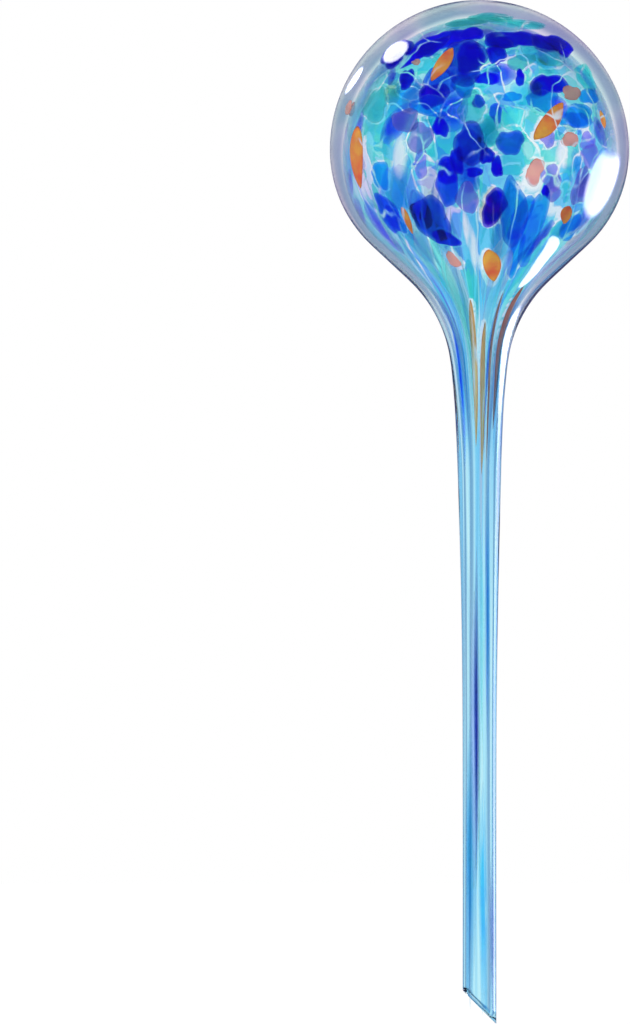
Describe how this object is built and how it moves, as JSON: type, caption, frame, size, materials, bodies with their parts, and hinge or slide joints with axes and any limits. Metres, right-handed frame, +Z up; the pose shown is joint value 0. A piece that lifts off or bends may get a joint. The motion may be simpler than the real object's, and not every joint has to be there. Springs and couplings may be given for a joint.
{
  "type": "watering globe",
  "caption": "Blown-glass watering globe: a clear bulb lined with coloured glass chips, on a hollow stem with a mitred tip that is pushed into potting soil to feed water slowly.",
  "frame": {"origin": "on the globe's axis, level with the lowest point of the stem's mitred tip", "axes": "+Z up the axis from the tip to the bulb's crown, +X towards the low side of the mitre, and -Y towards the picture's viewer"},
  "size_m": [0.079, 0.079, 0.27],
  "materials": {
    "clear_glass": "fire-polished, clear",
    "cobalt_glass": "clear deep blue",
    "azure_glass": "clear mid blue",
    "turquoise_glass": "clear blue-green",
    "lavender_glass": "clear pale violet",
    "amber_glass": "clear orange",
    "coral_glass": "clear pink-brown",
    "rust_glass": "clear brown"
  },
  "bodies": {
    "root": {"clear_casing": "clear_glass", "cobalt_chips": "cobalt_glass", "azure_chips": "azure_glass", "turquoise_chips": "turquoise_glass", "lavender_chips": "lavender_glass", "amber_chips": "amber_glass", "coral_chips": "coral_glass", "cobalt_streaks": "cobalt_glass", "azure_streaks": "azure_glass", "amber_streaks": "amber_glass", "rust_streaks": "rust_glass"}
  },
  "joints": []
}
